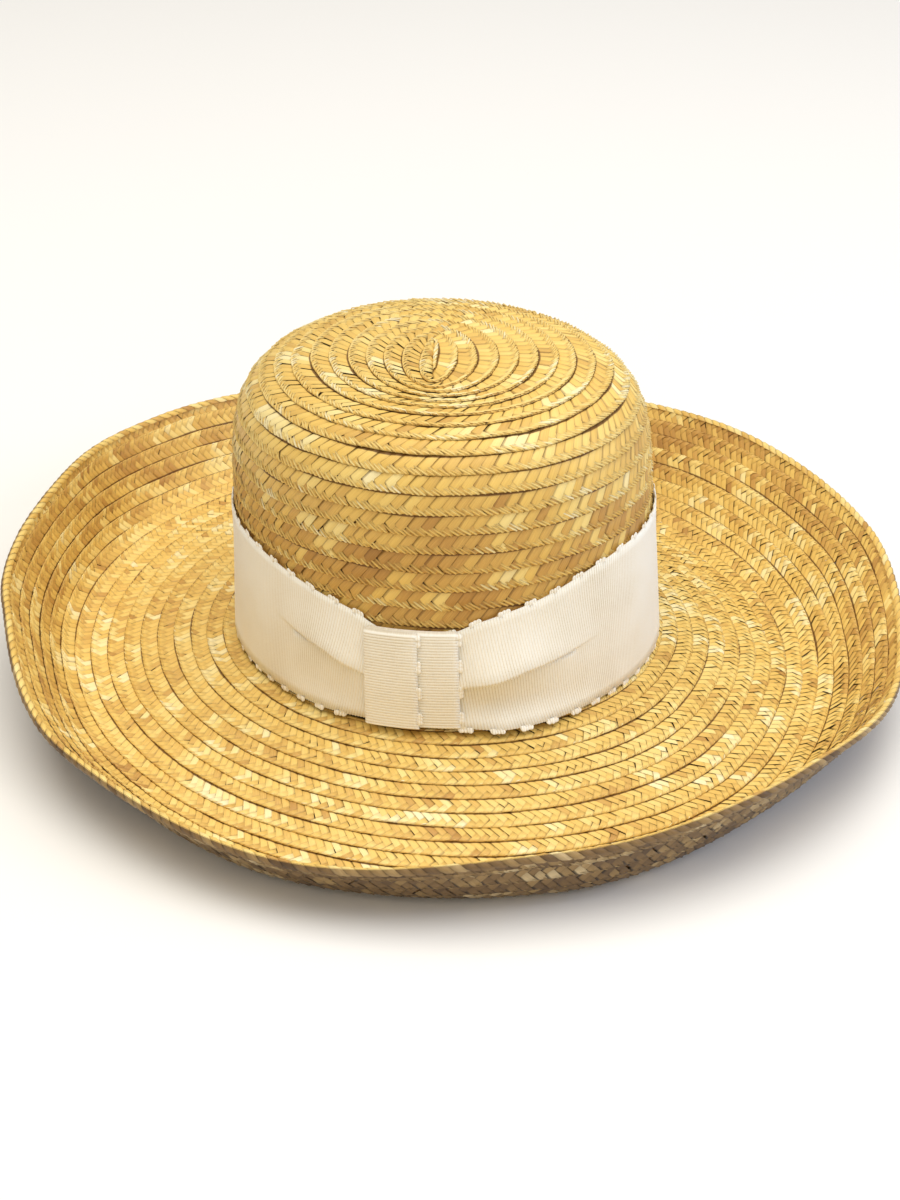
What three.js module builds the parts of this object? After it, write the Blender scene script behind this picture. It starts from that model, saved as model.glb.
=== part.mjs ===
// A hat sewn from plaited straw: oval domed crown, wide brim rolled up all round, and a ribbon folded
// over itself in a flat knot. Millimetres, +Z up, the front of the hat towards -Y, resting at z = 0.
import * as THREE from 'three';

// Clearance kept where two pieces touch.
const GAP = 0.3;

// Straight sides in each ring of the straw and in each ring of the ribbon.
const STRAW_SIDES = 44;
const RIBBON_SIDES = 72;

// Crown: a family of ovals, each longer than wide by the length of the seam that starts the braid.
const CROWN_HALF_WIDTH = 84;
const SEAM_HALF_LENGTH = 13.5;
const WALL_HEIGHT = 43.8;
const WALL_TAPER = 1.9;
const CROWN_HEIGHT = 115;
const SHOULDER_POWER = 5;
const TIP_HALF_WIDTH = 3;
const LEAN_BACK_DEG = 4.1;
const LEAN_SIDE_DEG = -1.9;

// Braid: sheet thickness, how far each row's lip stands over the next row, and the row spacing.
const STRAW_THICK = 1.7;
const ROW_LIP = 0.8;
const LIP_RUN = 0.25;
const CROWN_ROW_PITCH = 7.2;
const CROWN_FIRST_LIP = 3;
const BRIM_ROW_PITCH = 6.6;
const BRIM_FIRST_LIP = 8.5;
const RIM_LIP = 1.5;

// Brim: height of its seat under the crown, length of the roll, and the flat ring that it rests on.
const SEAT_HEIGHT = 13.7;
const ROLL_LENGTH = 34;
const REST_RING_HALF = 4;
const UNDER_SLOPE_RINGS = 4;
const OUTER_ROWS = 6;

// Brim section by azimuth in degrees, counted from +X towards +Y: where the roll is centred along the
// brim, how steeply it turns up, and the brim's width along its surface from crown to rim.
const BRIM_SECTIONS = [
  { azimuth: 0, rollAt: 60, turnUp: 44, width: 114 },
  { azimuth: 30, rollAt: 60, turnUp: 46, width: 114 },
  { azimuth: 60, rollAt: 69, turnUp: 46, width: 114 },
  { azimuth: 90, rollAt: 76, turnUp: 52, width: 114 },
  { azimuth: 120, rollAt: 77, turnUp: 61, width: 116 },
  { azimuth: 150, rollAt: 69, turnUp: 71, width: 114 },
  { azimuth: 180, rollAt: 68, turnUp: 58, width: 113 },
  { azimuth: 210, rollAt: 76, turnUp: 47, width: 112 },
  { azimuth: 240, rollAt: 85, turnUp: 52, width: 113 },
  { azimuth: 270, rollAt: 84, turnUp: 69, width: 113 },
  { azimuth: 300, rollAt: 75, turnUp: 57, width: 114 },
  { azimuth: 330, rollAt: 76, turnUp: 46, width: 109 },
];

// Ribbon round the crown. The knot sits to one side of the front, and the band narrows towards it.
const RIBBON_THICK = 1;
const KNOT_AZIMUTH_DEG = 248;
const BAND_BOTTOM = 1.5;
const BAND_NARROWING = [
  { fromKnotDeg: 0, top: 39 },
  { fromKnotDeg: 11, top: 40 },
  { fromKnotDeg: 18, top: 44 },
  { fromKnotDeg: 28, top: 48.5 },
  { fromKnotDeg: 40, top: 52.5 },
  { fromKnotDeg: 54, top: 56 },
  { fromKnotDeg: 180, top: 56 },
];

// Tucks that gather the band into the knot: a folded lip that rises from nothing at its far end.
const TUCKS = [
  { side: -1, nearDeg: 11, reachDeg: 40, nearHeight: 22, farHeight: 31.5, lip: 1.6 },
  { side: 1, nearDeg: 11, reachDeg: 48, nearHeight: 20, farHeight: 25.5, lip: 1.6 },
];
const TUCK_EDGE = 0.6;

// Knot: one ribbon folded lengthwise, so its left part is two layers thick, wrapped round the band.
const KNOT_WIDTH = 34.4;
const KNOT_FOLD_WIDTH = 19.6;
const KNOT_LAYER = 1.1;
const KNOT_OVER = 1.2;
const KNOT_HOOK = 1.6;
const KNOT_STEPS = 6;

const STRAW_FINISH = { color: 0xd2a860, roughness: 0.7, metalness: 0 };
const RIBBON_FINISH = { color: 0xe9e2d3, roughness: 0.85, metalness: 0 };

const radians = THREE.MathUtils.degToRad;
const lerp = THREE.MathUtils.lerp;

const LEAN = new THREE.Matrix4()
  .makeTranslation(0, 0, SEAT_HEIGHT)
  .multiply(new THREE.Matrix4().makeRotationY(radians(LEAN_SIDE_DEG)))
  .multiply(new THREE.Matrix4().makeRotationX(-radians(LEAN_BACK_DEG)));

function smooth(value) {
  const t = THREE.MathUtils.clamp(value, 0, 1);
  return t * t * (3 - 2 * t);
}

// How far a value lies from one end of a range to the other, from 0 to 1.
function share(value, from, to) {
  return THREE.MathUtils.clamp((value - from) / (to - from), 0, 1);
}

function angles(count) {
  return Array.from({ length: count }, (_, i) => (2 * Math.PI * i) / count);
}

// Point on the oval of half width `half` at height `z` above the crown's seat.
function ovalPoint(angle, half, z) {
  const point = new THREE.Vector3(half * Math.cos(angle), (half + SEAM_HALF_LENGTH) * Math.sin(angle), z);
  return point.applyMatrix4(LEAN);
}

// Direction straight out from the crown's seat, in plan.
function outward(angle) {
  const long = CROWN_HALF_WIDTH + SEAM_HALF_LENGTH;
  return new THREE.Vector2(long * Math.cos(angle), CROWN_HALF_WIDTH * Math.sin(angle)).normalize();
}

// Crown section from seat to tip as half width and height, sampled finely and measured along its run.
function crownSection() {
  const samples = [];
  const top = CROWN_HALF_WIDTH - WALL_TAPER;
  for (let i = 0; i <= 20; i += 1) {
    const t = i / 20;
    samples.push({ half: CROWN_HALF_WIDTH - WALL_TAPER * t, z: WALL_HEIGHT * t });
  }
  for (let i = 1; i <= 200; i += 1) {
    const turn = (Math.PI / 2) * (1 - (1 - i / 200) ** 3);
    const half = top * Math.max(Math.cos(turn), 0) ** (2 / SHOULDER_POWER);
    const z = WALL_HEIGHT + (CROWN_HEIGHT - WALL_HEIGHT) * Math.sin(turn) ** (2 / SHOULDER_POWER);
    samples.push({ half, z });
  }
  samples[0].run = 0;
  for (let i = 1; i < samples.length; i += 1) {
    const step = Math.hypot(samples[i].half - samples[i - 1].half, samples[i].z - samples[i - 1].z);
    samples[i].run = samples[i - 1].run + step;
  }
  return samples;
}

const CROWN_SECTION = crownSection();

// Half width and height at a run along the crown section, moved `lift` out of its surface.
function crownAt(run, lift) {
  const next = CROWN_SECTION.findIndex((sample) => sample.run >= run);
  const b = CROWN_SECTION[Math.max(next, 1)];
  const a = CROWN_SECTION[Math.max(next, 1) - 1];
  const mix = (run - a.run) / (b.run - a.run);
  const length = Math.hypot(b.half - a.half, b.z - a.z);
  const outHalf = (b.z - a.z) / length;
  const outZ = (a.half - b.half) / length;
  return { half: lerp(a.half, b.half, mix) + lift * outHalf, z: lerp(a.z, b.z, mix) + lift * outZ };
}

// Half width of the crown's wall at a height, for what lies against it.
function wallHalf(z) {
  const next = CROWN_SECTION.findIndex((sample) => sample.z >= z);
  const b = CROWN_SECTION[Math.max(next, 1)];
  const a = CROWN_SECTION[Math.max(next, 1) - 1];
  return lerp(a.half, b.half, (z - a.z) / (b.z - a.z));
}

function sectionAt(angle) {
  const count = BRIM_SECTIONS.length;
  const place = (THREE.MathUtils.euclideanModulo(angle, 2 * Math.PI) / (2 * Math.PI)) * count;
  const first = BRIM_SECTIONS[Math.floor(place) % count];
  const next = BRIM_SECTIONS[(Math.floor(place) + 1) % count];
  const mix = smooth(place - Math.floor(place));
  return {
    rollAt: lerp(first.rollAt, next.rollAt, mix),
    turnUp: radians(lerp(first.turnUp, next.turnUp, mix)),
    width: lerp(first.width, next.width, mix),
  };
}

// Brim section at one azimuth: slopes down from the crown, touches the resting plane, and rolls up.
// The slope is the one that brings its lowest point to the sheet's thickness above z = 0.
function brimSection(angle) {
  const { rollAt, turnUp, width } = sectionAt(angle);
  const seat = ovalPoint(angle, CROWN_HALF_WIDTH, 0);
  const drop = seat.z - STRAW_THICK;
  const steps = 240;
  const step = width / steps;
  let slope = drop / rollAt;
  let samples = [];
  for (let round = 0; round < 8; round += 1) {
    samples = [{ out: 0, z: 0, tilt: -slope }];
    for (let i = 1; i <= steps; i += 1) {
      const mix = smooth((i * step - rollAt) / ROLL_LENGTH + 0.5);
      const tilt = lerp(-slope, turnUp, mix);
      const last = samples[i - 1];
      const mid = (tilt + last.tilt) / 2;
      samples.push({ out: last.out + step * Math.cos(mid), z: last.z + step * Math.sin(mid), tilt });
    }
    slope *= drop / -Math.min(...samples.map((sample) => sample.z));
  }
  const lowest = samples.reduce((best, sample, i) => (sample.z < samples[best].z ? i : best), 0);
  return { angle, seat, samples, step, width, lowAt: lowest * step };
}

// Point at a run along a brim section, moved `lift` above its upper surface.
function brimPoint(section, run, lift) {
  const place = THREE.MathUtils.clamp(run / section.step, 0, section.samples.length - 1.001);
  const a = section.samples[Math.floor(place)];
  const b = section.samples[Math.floor(place) + 1];
  const mix = place - Math.floor(place);
  const tilt = lerp(a.tilt, b.tilt, mix);
  const out = lerp(a.out, b.out, mix) - lift * Math.sin(tilt);
  const z = lerp(a.z, b.z, mix) + lift * Math.cos(tilt);
  const away = outward(section.angle);
  return new THREE.Vector3(section.seat.x + away.x * out, section.seat.y + away.y * out, section.seat.z + z);
}

// Closed mesh through rings of points: the last ring joins the first, or both ends are capped by fans.
function solid(name, rings, capped, finish) {
  const count = rings[0].length;
  const points = rings.flat();
  const faces = [];
  const joins = capped ? rings.length - 1 : rings.length;
  for (let i = 0; i < joins; i += 1) {
    const a = i * count;
    const b = ((i + 1) % rings.length) * count;
    for (let j = 0; j < count; j += 1) {
      const k = (j + 1) % count;
      faces.push([a + j, a + k, b + k], [a + j, b + k, b + j]);
    }
  }
  if (capped) {
    const last = (rings.length - 1) * count;
    const ends = [rings[0], rings[rings.length - 1]];
    const [first, end] = ends.map((ring) => {
      const middle = ring.reduce((sum, point) => sum.add(point), new THREE.Vector3());
      return points.push(middle.divideScalar(count)) - 1;
    });
    for (let j = 0; j < count; j += 1) {
      const k = (j + 1) % count;
      faces.push([first, k, j], [end, last + j, last + k]);
    }
  }
  const volume = faces.reduce((sum, [a, b, c]) => {
    const normal = new THREE.Vector3().crossVectors(points[b], points[c]);
    return sum + points[a].dot(normal);
  }, 0);
  const order = volume > 0 ? faces : faces.map(([a, b, c]) => [a, c, b]);
  const geometry = new THREE.BufferGeometry().setFromPoints(points);
  geometry.setIndex(order.flat());
  geometry.computeVertexNormals();
  const mesh = new THREE.Mesh(geometry, new THREE.MeshStandardMaterial(finish));
  mesh.name = name;
  return mesh;
}

// Crown: a smooth wall inside, stepped rows outside, each row's lower lip standing over the next row.
function makeCrown() {
  const turns = angles(STRAW_SIDES);
  const length = CROWN_SECTION[CROWN_SECTION.length - 1].run;
  const tipRun = CROWN_SECTION.find((sample) => sample.half < TIP_HALF_WIDTH).run;
  const ring = ({ half, z }) => turns.map((angle) => ovalPoint(angle, half, z));
  const rings = [];
  const insideRuns = 13;
  for (let i = 0; i <= insideRuns; i += 1) {
    const run = lerp(tipRun, 0, i / insideRuns);
    const inside = crownAt(run, -STRAW_THICK);
    rings.push(ring({ half: inside.half, z: Math.max(inside.z, GAP) }));
  }
  rings.push(ring({ half: CROWN_HALF_WIDTH, z: GAP }));
  for (let lip = CROWN_FIRST_LIP; lip + LIP_RUN < tipRun; lip += CROWN_ROW_PITCH) {
    rings.push(ring(crownAt(lip - LIP_RUN, 0)));
    rings.push(ring(crownAt(lip + LIP_RUN, ROW_LIP)));
  }
  rings.push(ring(crownAt(Math.min(tipRun + LIP_RUN, length), 0)));
  return solid('crown', rings, true, STRAW_FINISH);
}

// Brim: stepped rows on top, a smooth slope and a flat resting ring beneath, stepped rows outside.
function makeBrim() {
  const sections = angles(STRAW_SIDES).map(brimSection);
  const seatInside = CROWN_HALF_WIDTH - STRAW_THICK;
  const rings = [];
  rings.push(sections.map(({ angle }) => ovalPoint(angle, seatInside, -STRAW_THICK)));
  rings.push(sections.map(({ angle }) => ovalPoint(angle, seatInside, 0)));
  rings.push(sections.map((section) => brimPoint(section, 0, 0)));
  const rows = Math.round((BRIM_SECTIONS[0].width - BRIM_FIRST_LIP) / BRIM_ROW_PITCH);
  for (let row = 0; row < rows; row += 1) {
    const lip = BRIM_FIRST_LIP + row * BRIM_ROW_PITCH;
    const at = (section) => (lip * section.width) / BRIM_SECTIONS[0].width;
    rings.push(sections.map((section) => brimPoint(section, at(section) - LIP_RUN, ROW_LIP)));
    rings.push(sections.map((section) => brimPoint(section, at(section) + LIP_RUN, 0)));
  }
  rings.push(sections.map((section) => brimPoint(section, section.width, RIM_LIP)));
  rings.push(sections.map((section) => brimPoint(section, section.width, -STRAW_THICK)));
  for (let row = OUTER_ROWS; row >= 1; row -= 1) {
    const at = (section) => lerp(section.lowAt + REST_RING_HALF, section.width, row / (OUTER_ROWS + 1));
    rings.push(sections.map((section) => brimPoint(section, at(section) + LIP_RUN, -STRAW_THICK - ROW_LIP)));
    rings.push(sections.map((section) => brimPoint(section, at(section) - LIP_RUN, -STRAW_THICK)));
  }
  for (const side of [1, -1]) {
    rings.push(sections.map((section) => {
      const point = brimPoint(section, section.lowAt + side * REST_RING_HALF, -STRAW_THICK);
      return point.setZ(0);
    }));
  }
  for (let i = UNDER_SLOPE_RINGS; i >= 1; i -= 1) {
    const at = (section) => ((section.lowAt - REST_RING_HALF) * i) / (UNDER_SLOPE_RINGS + 1);
    rings.push(sections.map((section) => brimPoint(section, at(section), -STRAW_THICK)));
  }
  return solid('brim', rings, false, STRAW_FINISH);
}

// Angle round from the knot, in degrees from -180 to 180.
function fromKnot(angle) {
  const turn = THREE.MathUtils.radToDeg(angle) - KNOT_AZIMUTH_DEG;
  return THREE.MathUtils.euclideanModulo(turn + 180, 360) - 180;
}

function bandTop(angle) {
  const away = Math.abs(fromKnot(angle));
  const next = BAND_NARROWING.findIndex((row) => row.fromKnotDeg >= away);
  const b = BAND_NARROWING[Math.max(next, 1)];
  const a = BAND_NARROWING[Math.max(next, 1) - 1];
  return lerp(a.top, b.top, (away - a.fromKnotDeg) / (b.fromKnotDeg - a.fromKnotDeg));
}

function tuckAt(angle) {
  const away = fromKnot(angle);
  const tuck = TUCKS.find(({ side }) => side * away >= 0);
  const reach = share(Math.abs(away), tuck.nearDeg, tuck.reachDeg);
  const height = lerp(tuck.nearHeight, tuck.farHeight, reach);
  return { height, lip: tuck.lip * (1 - reach) };
}

// Point against the crown's wall at a height, standing `lift` off its braid.
function wallPoint(angle, z, lift) {
  return ovalPoint(angle, wallHalf(z) + ROW_LIP + lift, z);
}

function makeBand() {
  const turns = angles(RIBBON_SIDES);
  const outside = GAP + RIBBON_THICK;
  const rings = [
    turns.map((angle) => wallPoint(angle, BAND_BOTTOM, GAP)),
    turns.map((angle) => wallPoint(angle, bandTop(angle), GAP)),
    turns.map((angle) => wallPoint(angle, bandTop(angle), outside)),
    turns.map((angle) => {
      const { height, lip } = tuckAt(angle);
      return wallPoint(angle, lerp(height, bandTop(angle), 0.5), outside + lip * 0.7);
    }),
    turns.map((angle) => {
      const { height, lip } = tuckAt(angle);
      return wallPoint(angle, height + TUCK_EDGE, outside + lip);
    }),
    turns.map((angle) => wallPoint(angle, tuckAt(angle).height - TUCK_EDGE, outside)),
    turns.map((angle) => wallPoint(angle, BAND_BOTTOM, outside)),
  ];
  return solid('ribbon_band', rings, false, RIBBON_FINISH);
}

// Knot: the folded ribbon's section across the band, carried from a hook over the band's top edge,
// down its face, to a hook under its bottom edge.
function makeKnot() {
  const knotAngle = radians(KNOT_AZIMUTH_DEG);
  const long = CROWN_HALF_WIDTH + SEAM_HALF_LENGTH;
  const perRadian = Math.hypot(CROWN_HALF_WIDTH * Math.sin(knotAngle), long * Math.cos(knotAngle));
  const inner = GAP + RIBBON_THICK + Math.max(...TUCKS.map(({ lip }) => lip)) + GAP;
  const run = (from, to, lift) => Array.from({ length: KNOT_STEPS + 1 }, (_, i) => {
    return { across: lerp(from, to, i / KNOT_STEPS), lift };
  });
  const section = [
    ...run(0, KNOT_WIDTH, 0),
    ...run(KNOT_WIDTH, KNOT_FOLD_WIDTH + KNOT_LAYER / 2, KNOT_LAYER),
    ...run(KNOT_FOLD_WIDTH, KNOT_LAYER, 2 * KNOT_LAYER),
    { across: 0, lift: KNOT_LAYER },
  ];
  const top = bandTop(knotAngle) + GAP;
  const stations = [
    { z: top + KNOT_OVER, back: KNOT_HOOK },
    { z: top + KNOT_OVER * 0.6, back: 0.3 },
    { z: top - 1, back: 0 },
    { z: lerp(BAND_BOTTOM, top, 0.5), back: 0 },
    { z: BAND_BOTTOM + 1, back: 0 },
    { z: BAND_BOTTOM, back: 0.3 },
  ];
  const rings = stations.map(({ z, back }) => section.map(({ across, lift }) => {
    const angle = knotAngle + (across - KNOT_WIDTH / 2) / perRadian;
    return wallPoint(angle, z, inner + lift - back);
  }));
  return solid('ribbon_knot', rings, true, RIBBON_FINISH);
}

const hat = new THREE.Group();
hat.name = 'straw_hat';
hat.add(makeCrown(), makeBrim(), makeBand(), makeKnot());

// The origin is below the middle of the hat's box.
const box = new THREE.Box3().setFromObject(hat);
const middle = box.getCenter(new THREE.Vector3());
hat.children.forEach((mesh) => mesh.geometry.translate(-middle.x, -middle.y, -box.min.z));

export default hat;
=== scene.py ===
"""A straw hat with an upturned brim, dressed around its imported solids.

The straw is built as what it is: a flat plait sewn in a spiral, each row's lip standing over the next
row, with every straw that shows as a small curved patch. The ribbon is a ribbed sheet with looped
edges, tucked towards a short folded length that holds it.
"""
import logging
import math
from dataclasses import dataclass
from enum import Enum
from typing import Any, Callable, Sequence

import bpy
import numpy as np
from mathutils import Matrix, Vector


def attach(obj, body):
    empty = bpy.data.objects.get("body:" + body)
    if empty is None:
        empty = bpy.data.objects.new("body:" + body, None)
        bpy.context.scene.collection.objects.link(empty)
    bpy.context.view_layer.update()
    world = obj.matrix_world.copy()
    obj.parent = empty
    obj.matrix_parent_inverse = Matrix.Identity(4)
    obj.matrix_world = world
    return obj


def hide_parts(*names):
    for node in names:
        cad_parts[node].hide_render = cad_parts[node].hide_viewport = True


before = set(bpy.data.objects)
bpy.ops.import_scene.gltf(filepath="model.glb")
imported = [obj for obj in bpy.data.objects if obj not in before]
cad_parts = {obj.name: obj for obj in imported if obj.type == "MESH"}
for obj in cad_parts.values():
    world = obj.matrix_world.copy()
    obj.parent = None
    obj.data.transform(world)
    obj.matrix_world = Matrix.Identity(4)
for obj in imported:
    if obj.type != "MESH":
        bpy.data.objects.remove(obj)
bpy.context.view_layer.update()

LOG = logging.getLogger("straw_hat")
MM = 0.001
Array = np.ndarray


def linear(code: str) -> tuple[float, float, float, float]:
    """Turns an sRGB hex colour into linear red, green, blue and a full alpha.

    Args:
        code: Six hex digits after a hash sign.

    Returns:
        Linear red, green and blue from 0 to 1, and 1.
    """
    parts = [int(code[i:i + 2], 16) / 255 for i in (1, 3, 5)]
    red, green, blue = (c / 12.92 if c <= 0.04045 else ((c + 0.055) / 1.055) ** 2.4 for c in parts)
    return red, green, blue, 1.0


def smooth(value: Array) -> Array:
    """Eases a share from 0 to 1 with level ends."""
    t = np.clip(value, 0.0, 1.0)
    return t * t * (3 - 2 * t)


def wander(at: Array, step: float, seed: int) -> Array:
    """Smooth random wander from -1 to 1 along a length.

    Args:
        at: Places along the length, from -100.
        step: Distance over which the value changes.
        seed: Seed of the draw.

    Returns:
        One value for each place.
    """
    place = (at + 100.0) / step
    first = np.floor(place).astype(int)
    knots = np.random.default_rng(seed).uniform(-1, 1, first.max() + 2)
    mix = smooth(place - first)
    return knots[first] * (1 - mix) + knots[first + 1] * mix


def add_node(tree: bpy.types.NodeTree, kind: str, settings: dict[str, Any] | None = None,
             inputs: dict[str | int, Any] | None = None) -> bpy.types.Node:
    """Adds one node with its settings, and sets or links its inputs.

    Args:
        tree: The material's node tree.
        kind: The node's type.
        settings: Properties of the node by name.
        inputs: Input sockets by name or place, each a value or an output socket to link.

    Returns:
        The new node.
    """
    new = tree.nodes.new(kind)
    for name, value in (settings or {}).items():
        setattr(new, name, value)
    for key, value in (inputs or {}).items():
        if isinstance(value, bpy.types.NodeSocket):
            tree.links.new(value, new.inputs[key])
        else:
            new.inputs[key].default_value = value
    return new


def fill_ramp(ramp: bpy.types.Node, stops: Sequence[tuple[float, str]]) -> None:
    """Gives a colour ramp its stops.

    Args:
        ramp: The colour ramp node.
        stops: Places from 0 to 1 and their sRGB hex colours.
    """
    elements = ramp.color_ramp.elements
    while len(elements) < len(stops):
        elements.new(1.0)
    for element, (place, code) in zip(elements, stops):
        element.position = place
        element.color = linear(code)


@dataclass(frozen=True)
class StrawFinish:
    """Plaited wheat straw, split, flattened and bleached by the sun.

    The eye sees long fine fibres along each straw, a low gloss on its skin and straws of unequal colour.
    The dark lines where one straw goes under the next, and under each row's lip, are painted shade.
    Sizes are in mm.
    """

    name: str
    ramp: tuple[tuple[float, str], ...]
    painted_crevice_shade: str
    fibre_width: float = 0.32
    fibre_length: float = 9.0
    fibre_share: float = 0.34
    weather_size: float = 45.0
    weather_share: float = 0.22
    roughness: tuple[float, float] = (0.40, 0.62)
    fibre_depth: float = 0.05

    def material(self) -> bpy.types.Material:
        """Builds the material from the patches' straw tones, painted shade and fibre directions."""
        made = bpy.data.materials.new(self.name)
        made.use_nodes = True
        tree = made.node_tree
        shader = tree.nodes["Principled BSDF"]
        shader.inputs["IOR"].default_value = 1.5
        straw = add_node(tree, "ShaderNodeAttribute", {"attribute_name": "straw"})
        parts = add_node(tree, "ShaderNodeSeparateColor", inputs={0: straw.outputs["Color"]})
        lay = add_node(tree, "ShaderNodeUVMap", {"uv_map": "fibre"})
        stretch = add_node(tree, "ShaderNodeMapping", inputs={
            "Vector": lay.outputs[0],
            "Scale": (1 / self.fibre_length, 1 / self.fibre_width, 1.0)})
        fibre = add_node(tree, "ShaderNodeTexNoise", inputs={
            "Vector": stretch.outputs[0], "Scale": 1.0, "Detail": 3.0, "Roughness": 0.6})
        place = add_node(tree, "ShaderNodeTexCoord")
        weather = add_node(tree, "ShaderNodeTexNoise", inputs={
            "Vector": place.outputs["Object"], "Scale": 1 / (self.weather_size * MM), "Detail": 2.0})
        grain = add_node(tree, "ShaderNodeMath", {"operation": "MULTIPLY_ADD"}, {
            0: fibre.outputs[0], 1: self.fibre_share, 2: parts.outputs["Red"]})
        tone = add_node(tree, "ShaderNodeMath", {"operation": "MULTIPLY_ADD"}, {
            0: weather.outputs[0], 1: self.weather_share, 2: grain.outputs[0]})
        level = (self.fibre_share + self.weather_share) / 2
        shift = add_node(tree, "ShaderNodeMath", {"operation": "SUBTRACT"}, {0: tone.outputs[0], 1: level})
        ramp = add_node(tree, "ShaderNodeValToRGB", inputs={0: shift.outputs[0]})
        fill_ramp(ramp, self.ramp)
        # Painted shade: the attribute's green channel mixes the straw towards the crevice colour under each
        # row's lip, between straws and at the keel.
        colour = add_node(tree, "ShaderNodeMix", {"data_type": "RGBA"}, {
            0: parts.outputs["Green"], 6: linear(self.painted_crevice_shade), 7: ramp.outputs[0]})
        gloss = add_node(tree, "ShaderNodeMapRange", inputs={
            "Value": fibre.outputs[0], "To Min": self.roughness[0], "To Max": self.roughness[1]})
        bump = add_node(tree, "ShaderNodeBump", inputs={
            "Height": fibre.outputs[0], "Strength": 0.6, "Distance": self.fibre_depth * MM})
        tree.links.new(colour.outputs[2], shader.inputs["Base Color"])
        tree.links.new(gloss.outputs[0], shader.inputs["Roughness"])
        tree.links.new(bump.outputs[0], shader.inputs["Normal"])
        return made


@dataclass(frozen=True)
class RibbonFinish:
    """Grosgrain: a matt ribbon woven with thick cross ribs, bleached to ivory.

    The ribs are in the mesh. The material adds the threads that run over them, uneven dye, a soft sheen,
    and painted shade in the valleys between the ribs with paler crests. Threads are about 0.2 mm apart
    and are drawn at twice that, so that they show.
    """

    name: str
    stops: tuple[tuple[float, str], ...]
    # Painted shade in the rib valleys and painted highlight on their crests.
    rib_painted_shading: float = 0.34
    thread_spacing: float = 0.4
    thread_depth: float = 0.08
    mottle_size: float = 28.0
    roughness: float = 0.78
    sheen: float = 0.25

    def material(self) -> bpy.types.Material:
        """Builds the material from the sheet's own length, counted in ribs, and width in mm."""
        made = bpy.data.materials.new(self.name)
        made.use_nodes = True
        tree = made.node_tree
        shader = tree.nodes["Principled BSDF"]
        shader.inputs["Roughness"].default_value = self.roughness
        shader.inputs["IOR"].default_value = 1.46
        shader.inputs["Sheen Weight"].default_value = self.sheen
        shader.inputs["Sheen Roughness"].default_value = 0.5
        lay = add_node(tree, "ShaderNodeUVMap", {"uv_map": "weave"})
        stretch = add_node(tree, "ShaderNodeMapping", inputs={
            "Vector": lay.outputs[0],
            "Scale": (0.25 / self.thread_spacing, 1 / self.thread_spacing, 1.0)})
        threads = add_node(tree, "ShaderNodeTexNoise", inputs={
            "Vector": stretch.outputs[0], "Scale": 1.0, "Detail": 2.0})
        count = add_node(tree, "ShaderNodeSeparateXYZ", inputs={0: lay.outputs[0]})
        # Painted shade and highlight: the tone follows the ribs, darker in their valleys and paler on their
        # crests.
        turn = add_node(tree, "ShaderNodeMath", {"operation": "MULTIPLY"}, {
            0: count.outputs[0], 1: 2 * math.pi})
        rib = add_node(tree, "ShaderNodeMath", {"operation": "COSINE"}, {0: turn.outputs[0]})
        mottle = add_node(tree, "ShaderNodeTexNoise", inputs={
            "Vector": lay.outputs[0], "Scale": 1 / self.mottle_size, "Detail": 2.0})
        woven = add_node(tree, "ShaderNodeMath", {"operation": "MULTIPLY_ADD"}, {
            0: threads.outputs[0], 1: 0.5, 2: mottle.outputs[0]})
        tone = add_node(tree, "ShaderNodeMath", {"operation": "MULTIPLY_ADD"}, {
            0: rib.outputs[0], 1: self.rib_painted_shading, 2: woven.outputs[0]})
        level = add_node(tree, "ShaderNodeMapRange", inputs={
            "Value": tone.outputs[0], "From Min": 0.25, "From Max": 1.25})
        ramp = add_node(tree, "ShaderNodeValToRGB", inputs={0: level.outputs[0]})
        fill_ramp(ramp, self.stops)
        bump = add_node(tree, "ShaderNodeBump", inputs={
            "Height": threads.outputs[0], "Strength": 0.35, "Distance": self.thread_depth * MM})
        tree.links.new(ramp.outputs[0], shader.inputs["Base Color"])
        tree.links.new(bump.outputs[0], shader.inputs["Normal"])
        return made


STRAW_TOP = StrawFinish(
    name="wheat_straw_plaited_bleached",
    ramp=((0.0, "#98692d"), (0.26, "#c7974b"), (0.5, "#efc869"), (0.74, "#fae08e"), (1.0, "#fff2c0")),
    painted_crevice_shade="#6b430d",
)
# A darker copy of the straw: painted shade for the brim's underside, the rim's outer straws and the crown's
# inside.
STRAW_PAINTED_SHADE = StrawFinish(
    name="wheat_straw_plaited_painted_shade",
    ramp=((0.0, "#3a2a14"), (0.28, "#614829"), (0.5, "#7e6138"), (0.72, "#a38553"), (1.0, "#cfb88c")),
    painted_crevice_shade="#21160a",
)
RIBBON_IVORY = RibbonFinish(
    name="grosgrain_ribbon_woven_ivory",
    stops=((0.0, "#dbd1b9"), (0.45, "#f8f3e4"), (1.0, "#fffef6")),
)


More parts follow.
